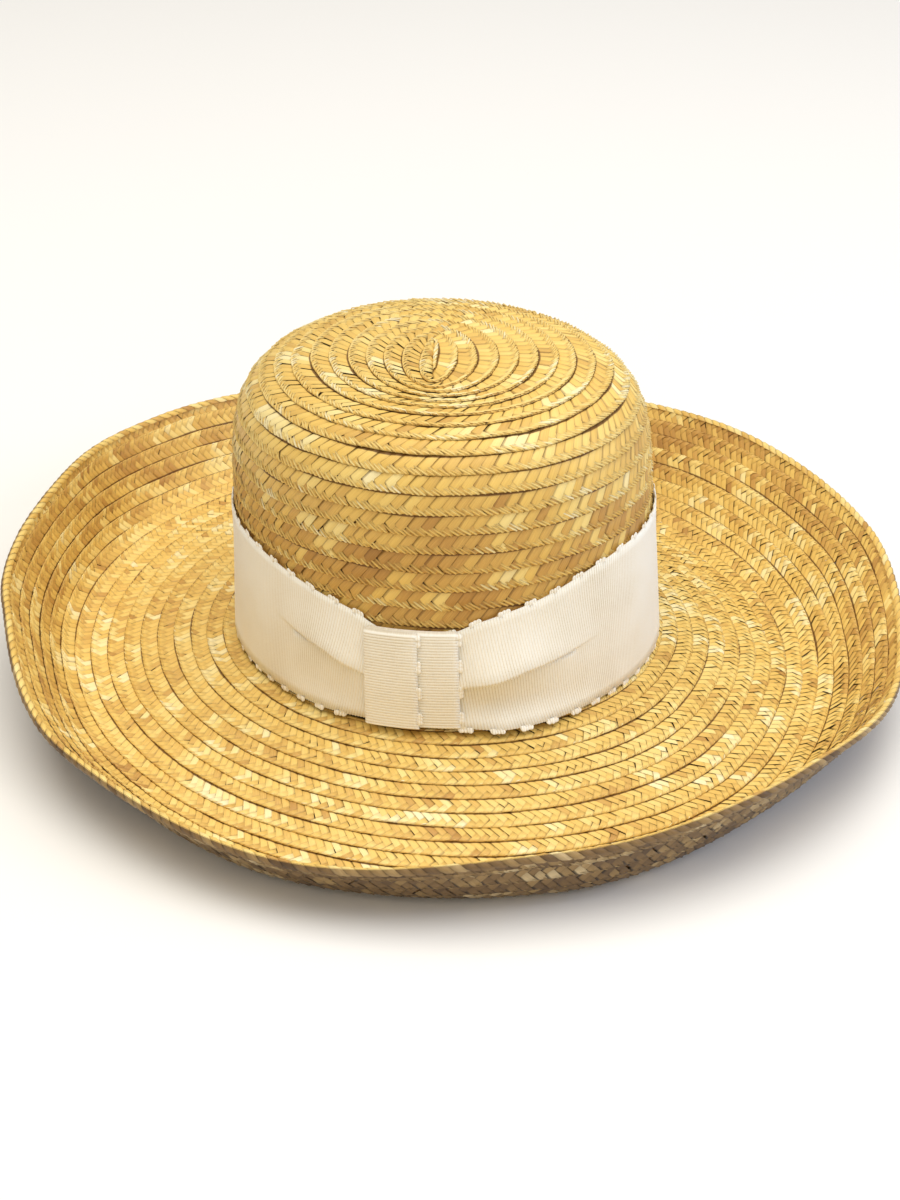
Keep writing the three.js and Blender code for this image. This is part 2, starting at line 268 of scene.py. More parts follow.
@dataclass(frozen=True)
class HatForm:
    """The hat's form in millimetres, as the solids have it: crown section, lean and brim sections.

    The brim's rows of numbers stand for every 30 degrees from +X towards +Y: where its roll is centred
    along the brim, how steeply it turns up, and its width along the surface from crown to rim. Near the
    tip the ovals of the braid turn, grow longer and move, as the first rows of the spiral do.
    """

    half_width: float = 84.0
    seam_half: float = 13.5
    wall_height: float = 43.8
    wall_taper: float = 1.9
    crown_height: float = 115.0
    shoulder_power: float = 5.0
    lean_back_deg: float = 4.1
    lean_side_deg: float = -1.9
    row_lip: float = 0.8
    thick: float = 1.7
    seat_height: float = 13.7
    roll_length: float = 34.0
    middle: tuple[float, float] = (2.34, 2.668)
    tip_turn_deg: float = -13.0
    tip_seam_half: float = 19.5
    tip_shift: tuple[float, float] = (-2.0, -7.0)
    tip_reach: float = 55.0
    roll_at: tuple[float, ...] = (60, 60, 69, 76, 77, 69, 68, 76, 85, 84, 75, 76)
    turn_up_deg: tuple[float, ...] = (44, 46, 46, 52, 61, 71, 58, 47, 52, 69, 57, 46)
    widths: tuple[float, ...] = (114, 114, 114, 114, 116, 114, 113, 112, 113, 113, 114, 109)
    round_steps: int = 720
    width_steps: int = 240

    def oval(self, angle: Array, half: Array, z: Array) -> Array:
        """Points on the crown's ovals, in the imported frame.

        Args:
            angle: Angles round the oval, in radians from +X.
            half: Half widths of the ovals.
            z: Heights above the crown's seat.

        Returns:
            Points in millimetres, with x, y and z last.
        """
        angle, half, z = np.broadcast_arrays(angle, half, z)
        tip = smooth(1 - half / self.tip_reach)
        turn = math.radians(self.tip_turn_deg) * tip
        x = half * np.cos(angle) + self.tip_shift[0] * tip
        y = (half + self.seam_half + (self.tip_seam_half - self.seam_half) * tip) * np.sin(angle)
        y = y + self.tip_shift[1] * tip
        flat = np.stack([x * np.cos(turn) - y * np.sin(turn), x * np.sin(turn) + y * np.cos(turn), z], -1)
        lean = (Matrix.Rotation(math.radians(self.lean_side_deg), 3, "Y")
                @ Matrix.Rotation(-math.radians(self.lean_back_deg), 3, "X"))
        return flat @ np.array(lean).T + np.array([-self.middle[0], -self.middle[1], self.seat_height])

    def crown_table(self) -> Array:
        """Rows of run, half width, height, and the outward direction in half width and height."""
        wall = np.linspace(0, 1, 21)
        top = self.half_width - self.wall_taper
        turn = math.pi / 2 * (1 - (1 - np.arange(1, 401) / 400) ** 3)
        power = 2 / self.shoulder_power
        half = np.concatenate([self.half_width - self.wall_taper * wall,
                               top * np.maximum(np.cos(turn), 0) ** power])
        z = np.concatenate([self.wall_height * wall,
                            self.wall_height + (self.crown_height - self.wall_height) * np.sin(turn) ** power])
        run = np.concatenate([[0], np.cumsum(np.hypot(np.diff(half), np.diff(z)))])
        away = np.stack([np.gradient(z, run), -np.gradient(half, run)])
        away /= np.hypot(*away)
        return np.stack([run, half, z, *away])

    def crown_point(self, angle: Array, run: Array, lift: Array) -> Array:
        """Points on the crown at a run up its section, `lift` out of its surface."""
        table = CROWN_TABLE
        half, z, away_half, away_z = (np.interp(run, table[0], column) for column in table[1:])
        return self.oval(angle, np.maximum(half + lift * away_half, 0.05), z + lift * away_z)

    def wall_point(self, angle: Array, z: Array, lift: Array) -> Array:
        """Points against the crown's wall at a height, `lift` off its braid."""
        half = np.interp(z, CROWN_TABLE[2], CROWN_TABLE[1])
        return self.oval(angle, half + self.row_lip + lift, z)

    def round_the_brim(self, values: Sequence[float], angle: Array) -> Array:
        """Eases one of the brim's rows of numbers to any angle."""
        row = np.array(values, float)
        place = np.mod(angle, 2 * np.pi) / (2 * np.pi) * len(row)
        first = np.floor(place).astype(int) % len(row)
        mix = smooth(place - np.floor(place))
        return row[first] * (1 - mix) + row[(first + 1) % len(row)] * mix

    def brim_width(self, angle: Array) -> Array:
        """Brim's width along its surface at an angle."""
        return self.round_the_brim(self.widths, angle)

    def brim_table(self) -> Array:
        """Brim's reach, height and tilt at even angles and even steps from crown to rim."""
        angle = np.linspace(0, 2 * np.pi, self.round_steps, endpoint=False)[:, None]
        roll_at = self.round_the_brim(self.roll_at, angle)
        turn_up = np.radians(self.round_the_brim(self.turn_up_deg, angle))
        width = self.brim_width(angle)
        step = width / self.width_steps
        run = np.arange(self.width_steps + 1) * step
        drop = self.oval(angle, self.half_width, 0.0)[..., 2] - self.thick
        slope = drop / roll_at
        mix = smooth((run - roll_at) / self.roll_length + 0.5)
        for _ in range(8):
            tilt = -slope + (turn_up + slope) * mix
            middle = (tilt[:, 1:] + tilt[:, :-1]) / 2
            z = np.concatenate([np.zeros_like(step), np.cumsum(step * np.sin(middle), axis=1)], axis=1)
            slope = slope * drop / -z.min(axis=1, keepdims=True)
        out = np.concatenate([np.zeros_like(step), np.cumsum(step * np.cos(middle), axis=1)], axis=1)
        return np.stack([out, z, tilt])

    def brim_point(self, angle: Array, run: Array, lift: Array) -> Array:
        """Points on the brim at a run from the crown, `lift` above its upper surface."""
        angle, run, lift = np.broadcast_arrays(angle, run, lift)
        steps = self.round_steps
        along = np.clip(run / self.brim_width(angle) * self.width_steps, 0, self.width_steps - 0.001)
        turn = np.mod(angle, 2 * np.pi) / (2 * np.pi) * steps
        i, j = np.floor(turn).astype(int), np.floor(along).astype(int)
        f, g = turn - i, along - j
        table = BRIM_TABLE
        near, far = (table[:, k % steps, j] * (1 - g) + table[:, k % steps, j + 1] * g for k in (i, i + 1))
        out, z, tilt = near * (1 - f) + far * f
        beyond = np.maximum(run - self.brim_width(angle), 0)
        seat = self.oval(angle, self.half_width, 0.0)
        away = np.stack([(self.half_width + self.seam_half) * np.cos(angle),
                         self.half_width * np.sin(angle)], -1)
        away /= np.linalg.norm(away, axis=-1, keepdims=True)
        reach = out - lift * np.sin(tilt) + beyond * np.cos(tilt)
        rise = z + lift * np.cos(tilt) + beyond * np.sin(tilt)
        return np.concatenate([seat[..., :2] + away * reach[..., None], (seat[..., 2] + rise)[..., None]], -1)


FORM = HatForm()
CROWN_TABLE = FORM.crown_table()
BRIM_TABLE = FORM.brim_table()
CROWN_RUN = float(CROWN_TABLE[0, -1])


class Lean(Enum):
    """Which way the upper straws of a row lean, seen with the row's lip below."""

    RISING = 1.0
    FALLING = -1.0


@dataclass
class Patches:
    """Curved patches of one grid size: points in mm, straw tones with painted shade, and fibre places in mm."""

    points: Array
    colours: Array
    fibres: Array

    def part(self, first: float, last: float) -> "Patches":
        """Patches between two shares of their order along the spiral."""
        kept = slice(int(len(self.points) * first), int(len(self.points) * last))
        return Patches(self.points[kept], self.colours[kept], self.fibres[kept])


def dress(points: Array, tone: Array, shade: Array, places: tuple[Array, Array],
          rng: np.random.Generator) -> Patches:
    """Gives patches their colours, and fibre places that differ from straw to straw.

    Args:
        points: Points in millimetres.
        tone: Colour of each straw from 0, dark, to 1, pale.
        shade: Openness to light, painted into the colour as shade.
        places: Places along and across the straw.
        rng: Source of the draws.

    Returns:
        The dressed patches.
    """
    size = points.shape[:-1]
    colours = np.stack([np.broadcast_to(part, size) for part in (tone, shade, tone)], -1)
    fibres = [np.broadcast_to(part, size) + rng.uniform(0, 400, (size[0], 1, 1)) for part in places]
    return Patches(points, colours, np.stack(fibres, -1))


def upwards(points: Array) -> Array:
    """Says that outside is up."""
    return np.broadcast_to(np.array([0.0, 0.0, 1.0]), points.shape)


def downwards(points: Array) -> Array:
    """Says that outside is down."""
    return -upwards(points)


@dataclass(frozen=True)
class RowPath:
    """A spiral of rows on a surface.

    Attributes:
        place: Gives points from angles, runs and lifts.
        lip: Gives the run of a row's lip from the angle turned along the spiral.
        limit: Gives the surface's last run at an angle.
        start: Angle turned where the spiral starts, in radians.
        end: Angle turned where it ends.
        back: Direction of the run from a row's lip towards the row above it, 1 or -1.
        out: Direction of the lift out of the visible side, 1 or -1.
        base: Lift of the row's upper edge, counted outwards.
        painted_shading: Gives from a run how much paler its straws are, below 0 as painted shade.
    """

    place: Callable[[Array, Array, Array], Array]
    lip: Callable[[Array], Array]
    limit: Callable[[Array], Array]
    start: float
    end: float
    back: float
    out: float
    base: float
    painted_shading: Callable[[Array], Array]

    def at(self, turn: Array, run: Array, lift: Array) -> Array:
        """Points that stay on the surface, lifted out of its visible side."""
        return self.place(turn, np.clip(run, 0.0, self.limit(turn)), self.out * lift)


@dataclass(frozen=True)
class Measure:
    """Angles turned along a spiral, and the length along its rows that each stands for."""

    turns: Array
    lengths: Array

    def turn(self, length: Array) -> Array:
        """Angle turned at a length."""
        return np.interp(length, self.lengths, self.turns)


@dataclass(frozen=True)
class Braid:
    """A flat plait of split straws, sewn in rows. Sizes are in millimetres.

    Two sets of straws meet in a zigzag keel. The upper ones come from under the row above, and the lower
    ones run to the row's lip. There narrow straws turn back over it. Places in a row are counted from its
    upper edge.

    Attributes:
        visible: Width of a row that shows.
        hidden: Width under the row above.
        pitch: Width of a straw along the row.
        slant: How far a straw moves along the row for each millimetre across it.
        keel: Place of the keel's lowest points.
        rise: How far the lip stands over the row's upper edge.
        bulge: Roundness of a straw.
        lean: Which way the upper straws lean.
        seed: Seed of the draws.
        turn_spacing: Straws that turn at the lip, as a share of the pitch.
        turn_reach: Width of the row that they cover.
        turn_slant: How far they move along the row for each millimetre across it.
        turn_width: Their width across the row.
        turn_painted_highlight: How much paler they are, as painted highlight.
        turn_height: How much rounder they are than the other straws.
        wobble: How far a row strays from its even line.
        uneven: How far the straws' ends stray across the row.
        tone_drift: How far the colour drifts along the braid.
        tone_spread: How far it differs from straw to straw.
        pale_share: Share of the straws in a pale stretch that are pale.
        pale_gain: How much paler these are at most.
        across: Places across a straw, as shares of its width.
        profile: Roundness at these places.
        edge_shade: Openness to light at these places.
        keel_shade: Openness to light where the upper straws end.
        painted_crevice_shade: Places where the shade under the row above ends and the open straw starts.
        skew: How far a straw's slant strays.
        stray: How far a straw strays along the row, as a share of the pitch.
    """

    visible: float
    hidden: float
    pitch: float
    slant: float
    keel: float
    rise: float
    bulge: float
    lean: Lean
    seed: int
    turn_spacing: float = 1.0
    turn_reach: float = 1.7
    turn_slant: float = 2.0
    turn_width: float = 0.75
    turn_painted_highlight: float = 0.06
    turn_height: float = 1.0
    wobble: float = 0.35
    uneven: float = 0.2
    tone_drift: float = 0.09
    tone_spread: float = 0.06
    pale_share: float = 0.65
    pale_gain: float = 0.38
    across: tuple[float, ...] = (-0.16, 0.13, 0.25, 0.62, 1.05)
    profile: tuple[float, ...] = (-1.2, 0.0, 0.55, 1.0, 0.3)
    edge_shade: tuple[float, ...] = (0.4, 0.72, 1.0, 1.0, 0.95)
    keel_shade: float = 0.6
    painted_crevice_shade: tuple[float, float] = (0.05, 0.4)
    skew: float = 0.035
    stray: float = 0.045

    def lay(self, path: RowPath) -> tuple[list[Patches], Patches]:
        """Lays the straws along a spiral.

        Args:
            path: The spiral and its surface.

        Returns:
            The upper and the lower straws, and those that turn at the lip.
        """
        turn = np.linspace(path.start, path.end, 20000)
        line = path.at(turn, path.lip(turn) + path.back * self.visible / 2, np.full_like(turn, path.base))
        steps = np.linalg.norm(np.diff(line, axis=0), axis=1)
        measure = Measure(turn, np.concatenate([[0], np.cumsum(steps)]))
        return [self.upper(path, measure), self.lower(path, measure)], self.turned(path, measure)

    def upper(self, path: RowPath, measure: Measure) -> Patches:
        """Straws from under the row above down to the keel."""
        across, profile, edge = (np.array(v) for v in (self.across, self.profile, self.edge_shade))
        end = self.keel - self.pitch / 2 / self.slant * (1 - across)
        level = np.ones_like(end)
        t = np.stack([-self.hidden * level, self.painted_crevice_shade[0] * level, self.painted_crevice_shade[1] * level, end - 0.6, end])
        s = across * self.pitch + self.slant * (self.keel - t)
        height = np.outer((0.3, 0.8, 1.0, 0.9, 0.2), profile) - np.outer((0, 0, 0, 0, 1.0), level)
        # Painted shade: dark under the row above, along the straws' edges and where they end at the keel.
        shade = np.outer((0.05, 0.08, 1.0, 1.0, self.keel_shade), edge)
        return self.straws(path, measure, (s, t, height), (shade, np.array((0, 0, 0, 1.0, 1.0))), 0)

    def lower(self, path: RowPath, measure: Measure) -> Patches:
        """Straws from the keel down to the lip, with their ends tucked under it."""
        across, profile, edge = (np.array(v) for v in (self.across, self.profile, self.edge_shade))
        start = self.keel - self.pitch / 2 / self.slant * across
        level = np.ones_like(start)
        t = np.stack([start, (start + self.visible) / 2,
                      (self.visible - 0.25) * level, (self.visible - 0.1) * level])
        s = across * self.pitch + self.slant * (t - self.keel)
        tucked = (0.5, 0, 0.3, 0.6 * self.rise / self.bulge)
        height = np.outer((0.3, 1.0, 0.6, 0.0), profile) - np.outer(tucked, level)
        # Painted shade: darker where the straws leave the keel and where they tuck under the lip.
        shade = np.outer((0.75, 1.0, 0.95, 0.6), edge)
        return self.straws(path, measure, (s, t, height), (shade, np.array((1.0, 0.5, 0, 0))), 1)

    def straws(self, path: RowPath, measure: Measure, shape: tuple[Array, Array, Array],
               look: tuple[Array, Array], order: int) -> Patches:
        """Repeats one straw's patch along the spiral, each a little different.

        Args:
            path: The spiral and its surface.
            measure: The spiral's length.
            shape: Places along and across the row, and heights as shares of the bulge.
            look: Openness to light, and how freely each cross line of the straw strays.
            order: Number of the set.

        Returns:
            The patches.
        """
        rng = np.random.default_rng(self.seed + order)
        count = int(measure.lengths[-1] / self.pitch) - 4
        one = (count, 1, 1)
        s, t, height = (part[None] for part in shape)
        shade, loose = look[0], look[1][None, :, None]
        s = self.lean.value * (s + rng.normal(0, self.skew, one) * (t - self.keel))
        s = s + (np.arange(count).reshape(one) + 2 + rng.normal(0, self.stray, one)) * self.pitch
        t = t + rng.normal(0, self.uneven, one) * loose
        side = np.array(self.across)[None, None, :]
        tip = rng.normal(0, 0.55, one) * (side - 0.5) + rng.normal(0, 0.25, one)
        height = height * rng.uniform(0.7, 1.25, one) + tip
        lift = path.base + self.rise * t / self.visible + self.bulge * height
        turn = measure.turn(s)
        lip = path.lip(turn) + self.drift(s)
        run = lip + path.back * (self.visible - t)
        points = path.at(turn, run, lift)
        # Where no row lies above, the painted shade under a lip is mostly left out.
        uncovered = lip + path.back * self.visible > path.limit(turn) - 1.0
        shade = np.where(uncovered, np.maximum(shade[None], 0.8), shade[None])
        tone = self.tones(path, s.mean(axis=(1, 2)), run.mean(axis=(1, 2)), rng)[:, None, None]
        return dress(points, tone, shade, (t, side * self.pitch), rng)

    def turned(self, path: RowPath, measure: Measure) -> Patches:
        """Narrow straws that run down to the lip and turn round it.

        Args:
            path: The spiral and its surface.
            measure: The spiral's length.

        Returns:
            The patches.
        """
        rng = np.random.default_rng(self.seed + 2)
        pitch = self.pitch * self.turn_spacing
        count = int((measure.lengths[-1] - 4 * self.pitch) / pitch)
        one = (count, 1, 1)
        side = np.array([-1.0, 0.0, 1.0])[None, None, :]
        drop = np.array([-1.0, -0.55, -0.12, 0.0, 0.02])[None, :, None] * self.turn_reach
        drop = drop * rng.uniform(0.75, 1.2, one)
        t = np.minimum(self.visible + drop + side * self.turn_width / 2, self.visible + 0.02 * side)
        s = self.lean.value * self.turn_slant * drop
        s = s + (np.arange(count).reshape(one) + rng.normal(0, 0.12, one)) * pitch + 2 * self.pitch
        height = np.array([-0.9, 0.5, 1.0, -0.2, -0.2])[None, :, None] + 0.9 * (1 - side ** 2)
        fall = np.array([0.0, 0.0, 0.0, 0.25, 0.75])[None, :, None]
        height = self.bulge * self.turn_height * height * rng.uniform(0.75, 1.2, one)
        lift = path.base + self.rise * (t / self.visible - fall) + height
        turn = measure.turn(s)
        run = path.lip(turn) + self.drift(s) + path.back * (self.visible - t)
        points = path.at(turn, run, lift)
        # Painted shade along one side and at both ends of each turned straw, and a painted highlight in its
        # paler tone.
        shade = (np.array([0.5, 1.0, 1.0, 0.95, 0.6])[:, None] * np.array([0.4, 1.0, 0.8]))[None]
        tone = self.tones(path, s.mean(axis=(1, 2)), run.mean(axis=(1, 2)), rng)[:, None, None] + self.turn_painted_highlight
        return dress(points, tone, shade, (drop, side * 0.4), rng)

    def drift(self, s: Array) -> Array:
        """How far a row strays from its even line along the spiral."""
        return self.wobble * (wander(s, 31.0, self.seed + 10) + 0.5 * wander(s, 8.0, self.seed + 11))

    def tones(self, path: RowPath, s: Array, run: Array, rng: np.random.Generator) -> Array:
        """Colour of each straw from 0, dark, to 1, pale.

        Args:
            path: The spiral, which gives each run's tone shift, darker where shade is painted.
            s: Places of the straws along the spiral.
            run: Their runs.
            rng: Source of the draws.

        Returns:
            One tone for each straw.
        """
        tone = 0.5 + path.painted_shading(run) + self.tone_drift * wander(s, 26.0, self.seed + 12)
        tone = tone + rng.normal(0, self.tone_spread, len(s))
        pale = (wander(s, 14.0, self.seed + 13) > 0.35) & (rng.uniform(size=len(s)) < self.pale_share)
        dark = rng.uniform(size=len(s)) < 0.05
        return tone + pale * rng.uniform(0.4, 1.0, len(s)) * self.pale_gain - dark * 0.09


def patch_object(name: str, sets: Sequence[Patches], finish: bpy.types.Material,
                 outside: Callable[[Array], Array]) -> bpy.types.Object:
    """Makes one mesh object from sets of patches.

    Args:
        name: The piece's name.
        sets: Sets of patches, each of one grid size.
        finish: The piece's material.
        outside: Gives for points the direction that counts as outside.

    Returns:
        The object, linked into the scene.
    """
    points, colours, fibres, faces = [], [], [], []
    base = 0
    for patches in sets:
        count, rows, columns = patches.points.shape[:3]
        index = base + np.arange(count * rows * columns).reshape(count, rows, columns)
        quads = np.stack([index[:, :-1, :-1], index[:, :-1, 1:], index[:, 1:, 1:], index[:, 1:, :-1]], -1)
        quads = quads.reshape(-1, 4)
        flat = patches.points.reshape(-1, 3)
        corner = flat[quads - base]
        normal = np.cross(corner[:, 2] - corner[:, 0], corner[:, 3] - corner[:, 1])
        if np.sum(normal * outside(corner.mean(axis=1))) < 0:
            quads = quads[:, ::-1]
        points.append(flat)
        colours.append(patches.colours.reshape(-1, 3))
        fibres.append(patches.fibres.reshape(-1, 2))
        faces.append(quads)
        base += len(flat)
    return grid_object(name, np.concatenate(points) * MM, np.concatenate(faces), finish,
                       ("fibre", np.concatenate(fibres)), np.concatenate(colours))


def grid_object(name: str, points: Array, quads: Array, finish: bpy.types.Material,
                places: tuple[str, Array], colours: Array | None = None) -> bpy.types.Object:
    """Makes a smooth mesh object from points and four-sided faces.

    Args:
        name: The piece's name.
        points: Points in metres.
        quads: Four point numbers for each face.
        finish: The piece's material.
        places: Name of the surface coordinates, and one pair for each point.
        colours: Straw tones and painted shade for each point, if the finish reads them.

    Returns:
        The object, linked into the scene.
    """
    mesh = bpy.data.meshes.new(name)
    mesh.vertices.add(len(points))
    mesh.vertices.foreach_set("co", points.astype(np.float32).ravel())
    mesh.loops.add(quads.size)
    mesh.loops.foreach_set("vertex_index", quads.astype(np.int32).ravel())
    mesh.polygons.add(len(quads))
    mesh.polygons.foreach_set("loop_start", np.arange(0, quads.size, 4, dtype=np.int32))
    mesh.polygons.foreach_set("use_smooth", np.ones(len(quads), bool))
    mesh.update(calc_edges=True)
    layer = mesh.uv_layers.new(name=places[0])
    layer.data.foreach_set("uv", places[1][quads.ravel()].astype(np.float32).ravel())
    if colours is not None:
        # The colour attribute holds the straw's tone, its painted shade in green, and the tone again.
        straw = mesh.color_attributes.new("straw", "FLOAT_COLOR", "POINT")
        full = np.concatenate([colours, np.ones((len(colours), 1))], axis=1)
        straw.data.foreach_set("color", full.astype(np.float32).ravel())
    mesh.materials.append(finish)
    piece = bpy.data.objects.new(name, mesh)
    bpy.context.scene.collection.objects.link(piece)
    return piece


def settle(piece: bpy.types.Object, node: str | None = None) -> bpy.types.Object:
    """Lets a piece ride on the hat, and reports it.

    Args:
        piece: The piece.
        node: The solid that it stands for, if it does.

    Returns:
        The piece.
    """
    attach(piece, "root")
    if node:
        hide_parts(node)
    LOG.info("%s: %d faces", piece.name, len(piece.data.polygons))
    return piece


@dataclass
class StrawCrown:
    """Crown of straw braid, sewn from the seam at the tip downwards, with its inside."""

    finish: bpy.types.Material
    # Darker copy of the straw, painted shade for the crown's inside.
    painted_shade_finish: bpy.types.Material
    row_pitch: float = 7.4
    first_lip: float = 3.0
    tip_lip: float = 3.6
    inside_shift: float = 4.0
    # Painted shade on the wall, as a drop in tone.
    wall_painted_shade: float = 0.22
    outside_braid: Braid = Braid(visible=7.4, hidden=2.4, pitch=4.7, slant=0.8, keel=6.9, rise=0.85, bulge=0.3,
                                 lean=Lean.RISING, seed=11, turn_spacing=0.5, turn_reach=3.1, turn_slant=1.6,
                                 turn_width=1.05, turn_painted_highlight=0.15, turn_height=1.4, wobble=0.45,
                                 across=(-0.14, 0.1, 0.2, 0.6, 1.05),
                                 tone_drift=0.06, tone_spread=0.045, edge_shade=(0.25, 0.6, 1.0, 1.0, 0.9),
                                 keel_shade=0.35, painted_crevice_shade=(0.1, 0.5))
    inside_braid: Braid = Braid(visible=7.4, hidden=2.0, pitch=6.2, slant=0.8, keel=5.0, rise=0.7,
                                bulge=0.16, lean=Lean.FALLING, seed=21, across=(-0.05, 0.3, 1.05),
                                profile=(-0.5, 1.0, 0.0), edge_shade=(0.2, 1.0, 0.85))

    def lip(self, turn: Array) -> Array:
        """Run of a row's lip after turning down the spiral from the tip."""
        return np.clip(CROWN_RUN - self.tip_lip - self.row_pitch * turn / (2 * np.pi), 0.5, CROWN_RUN)

    def turns(self) -> float:
        """Angle turned from the tip to the last row."""
        return (CROWN_RUN - self.tip_lip - self.first_lip) / self.row_pitch * 2 * np.pi + 2.0

    def limit(self, turn: Array) -> Array:
        """Run of the tip, where the surface ends."""
        return np.full_like(turn, CROWN_RUN)

    def painted_shading(self, run: Array) -> Array:
        """How much paler the straws are: the wall is darker than the top, as painted shade."""
        return -self.wall_painted_shade * (1 - smooth((run - 55) / 50))

    def build(self) -> list[bpy.types.Object]:
        """Builds the crown's outside and inside."""
        start = math.pi / 2
        centre = np.array([-FORM.middle[0], -FORM.middle[1], 60.0])
        outer = RowPath(place=lambda a, r, h: FORM.crown_point(a + start, r, h), lip=self.lip,
                        limit=self.limit, start=-np.pi, end=self.turns(), back=1.0, out=1.0, base=-0.5,
                        painted_shading=self.painted_shading)
        inner = RowPath(place=outer.place, lip=lambda a: self.lip(a) + self.inside_shift,
                        limit=self.limit, start=-np.pi, end=self.turns(), back=-1.0, out=-1.0, base=0.8,
                        painted_shading=np.zeros_like)
        straws, turned = self.outside_braid.lay(outer)
        lining, _ = self.inside_braid.lay(inner)
        outside = patch_object("crown_braid", straws, self.finish, lambda p: p - centre)
        lips = patch_object("crown_braid_lips", [turned], self.finish, lambda p: p - centre)
        inside = patch_object("crown_inside_braid", lining, self.painted_shade_finish, lambda p: centre - p)
        return [settle(outside, "crown"), settle(lips), settle(inside)]


@dataclass
class StrawBrim:
    """Brim of straw braid, sewn outwards from the crown, with its underside and its rim."""

    finish: bpy.types.Material
    # Darker copy of the straw, painted shade for the underside and the rim's outer straws.
    painted_shade_finish: bpy.types.Material
    row_pitch: float = 6.9
    first_lip: float = 7.0
    full: float = 114.0
    rim_radius: float = 1.45
    rim_pitch: float = 4.5
    rim_slant: float = 1.5
    rim_across: tuple[float, ...] = (-0.05, 0.18, 0.75, 1.05)
    rim_bulge: tuple[float, ...] = (-0.5, 0.1, 0.3, -0.05)
    rim_shade: tuple[float, ...] = (0.05, 0.8, 1.0, 0.85)
    under_shift: float = 4.4
    # Painted shade on the brim's roll, as a drop in tone.
    roll_painted_shade: float = 0.12
    top_braid: Braid = Braid(visible=6.9, hidden=2.2, pitch=3.4, slant=0.75, keel=4.9, rise=0.7, bulge=0.22,
                             lean=Lean.FALLING, seed=31, turn_reach=1.1, turn_width=0.6, wobble=0.3)
    under_braid: Braid = Braid(visible=6.9, hidden=2.2, pitch=4.6, slant=0.8, keel=4.6, rise=0.7, bulge=0.16,
                               lean=Lean.RISING, seed=41, turn_reach=1.2, turn_width=0.7, turn_painted_highlight=0.12,
                               across=(-0.05, 0.15, 0.28, 1.05), profile=(-0.8, 0.1, 0.9, 0.3),
                               edge_shade=(0.05, 0.25, 1.0, 0.85), tone_spread=0.1, keel_shade=0.3)

    def lip(self, turn: Array) -> Array:
        """Run of a row's lip after turning along the spiral, which ends by closing on the rim."""
        plain = self.first_lip + self.row_pitch * (turn / (2 * np.pi) - 0.5)
        return np.minimum(plain, self.full) * FORM.brim_width(turn) / self.full

    def limit(self, turn: Array) -> Array:
        """Run where the rows end, just inside the rim."""
        return FORM.brim_width(turn) - 0.4

    def painted_shading(self, run: Array) -> Array:
        """How much paler the straws are: the roll is darker than the slope, as painted shade."""
        return -self.roll_painted_shade * smooth((run - 66) / 40)

    def build(self) -> list[bpy.types.Object]:
        """Builds the brim's top in two pieces, its underside, its lips and its rim."""
        closing = ((self.full - self.first_lip) / self.row_pitch + 1.5) * 2 * np.pi
        top = RowPath(place=FORM.brim_point, lip=self.lip, limit=self.limit, start=-1.5 * np.pi,
                      end=closing, back=-1.0, out=1.0, base=0.0, painted_shading=self.painted_shading)
        under = RowPath(place=FORM.brim_point, lip=lambda a: self.lip(a) - self.under_shift,
                        limit=self.limit, start=-np.pi, end=closing, back=1.0, out=-1.0, base=0.7,
                        painted_shading=np.zeros_like)
        straws, turned = self.top_braid.lay(top)
        beneath, turned_beneath = self.under_braid.lay(under)
        sets = (
            ("brim_braid", [p.part(0, 0.5) for p in straws], self.finish, upwards),
            ("brim_upturn_braid", [p.part(0.5, 1) for p in straws], self.finish, upwards),
            ("brim_braid_lips", [turned], self.finish, upwards),
            ("brim_underside_braid", beneath, self.painted_shade_finish, downwards),
            ("brim_underside_lips", [turned_beneath], self.painted_shade_finish, downwards),
            ("brim_rim_inner_straws", [self.rim((-120, -85, -45, -5), 51)], self.finish, upwards),
            ("brim_rim_outer_straws", [self.rim((-15, 30, 70, 110), 51)], self.painted_shade_finish, downwards),
        )
        return [settle(patch_object(*row), "brim" if not number else None)
                for number, row in enumerate(sets)]

    def rim(self, degrees: Sequence[float], seed: int) -> Patches:
        """Straws that fold over the rim, as slanted strips round its edge.

        Args:
            degrees: Places round the edge, from -90 above it over 0 at its end to 90 below it.
            seed: Seed of the draws.

        Returns:
            The patches.
        """
        turn = np.linspace(0, 2 * np.pi, 8001)
        line = FORM.brim_point(turn, FORM.brim_width(turn), np.zeros_like(turn))
        length = np.concatenate([[0], np.cumsum(np.linalg.norm(np.diff(line, axis=0), axis=1))])
        count = int(length[-1] / self.rim_pitch)
        pitch = length[-1] / count
        rng = np.random.default_rng(seed)
        one = (count, 1, 1)
        roll = np.radians(np.array(degrees))[None, :, None]
        # The shade row paints shade into the gaps between the strips.
        across, bulge, shade = (np.array(row)[None, None, :]
                                for row in (self.rim_across, self.rim_bulge, self.rim_shade))
        s = (np.arange(count).reshape(one) + across) * pitch + self.rim_slant * roll
        angle = np.interp(np.mod(s, length[-1]), length, turn)
        radius = self.rim_radius + bulge * rng.uniform(0.7, 1.3, one)
        points = FORM.brim_point(angle, FORM.brim_width(angle) - 1.0 + radius * np.cos(roll),
                                 -0.3 - radius * np.sin(roll))
        tone = 0.55 + rng.normal(0, 0.13, one)
        return dress(points, tone, shade, (roll * 3, across * pitch), rng)


